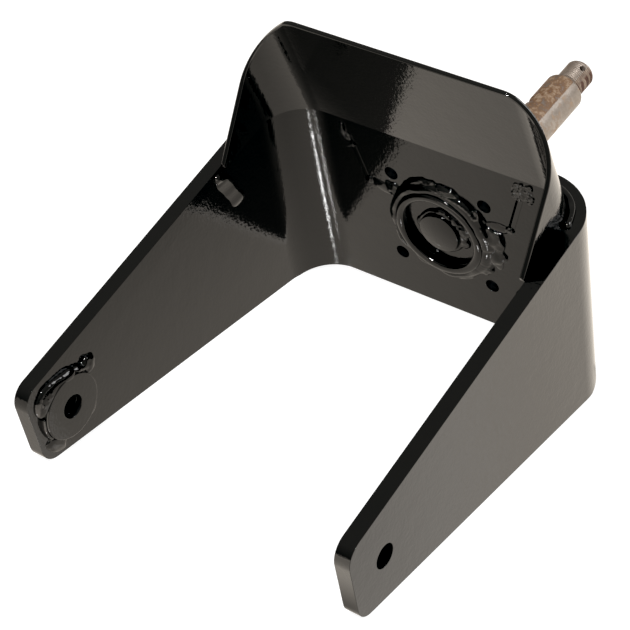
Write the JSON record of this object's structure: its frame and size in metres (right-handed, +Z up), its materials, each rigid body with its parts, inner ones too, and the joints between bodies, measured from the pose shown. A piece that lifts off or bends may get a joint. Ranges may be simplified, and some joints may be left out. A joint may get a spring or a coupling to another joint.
{
  "type": "wheel fork",
  "caption": "Bent steel wheel fork with tapered arms, a swivel spindle on its back, a curved guard along its top edge and axle bosses at the arm tips.",
  "frame": {"origin": "centre of the bounding box's underside, on the surface that the arms' lower edges lie on, midway between the two arms", "axes": "+X along the axle line, across the arms; +Y along the fork from the axle end to the spindle end; +Z up from the surface the fork lies on"},
  "size_m": [0.222, 0.4098, 0.2054],
  "materials": {
    "fork_paint": "gloss",
    "guard_paint": "gloss",
    "boss_paint": "gloss",
    "hub_paint": "gloss",
    "rib_paint": "gloss",
    "weld_paint": "gloss",
    "spindle_steel": "bare, lightly rusted"
  },
  "bodies": {
    "root": {"fork_plate": "fork_paint", "spindle": "spindle_steel", "hub_ring": "hub_paint", "hub_weld_outer": "weld_paint", "hub_weld_inner": "weld_paint", "guard_plate": "guard_paint", "seam_weld_left": "weld_paint", "seam_weld_right": "weld_paint", "seam_weld_middle": "weld_paint", "foot_weld_left": "weld_paint", "foot_weld_right": "weld_paint", "rib_left": "rib_paint", "rib_right": "rib_paint", "tack_left_upper": "weld_paint", "tack_left_lower": "weld_paint", "tack_right_upper": "weld_paint", "tack_right_lower": "weld_paint", "axle_boss_left": "boss_paint", "axle_boss_right": "boss_paint", "boss_weld_left_front": "weld_paint", "boss_weld_left_top": "weld_paint", "boss_weld_left_back": "weld_paint", "boss_weld_left_low": "weld_paint", "boss_weld_right_front": "weld_paint", "boss_weld_right_top": "weld_paint", "boss_weld_right_back": "weld_paint", "boss_weld_right_low": "weld_paint"}
  },
  "joints": []
}
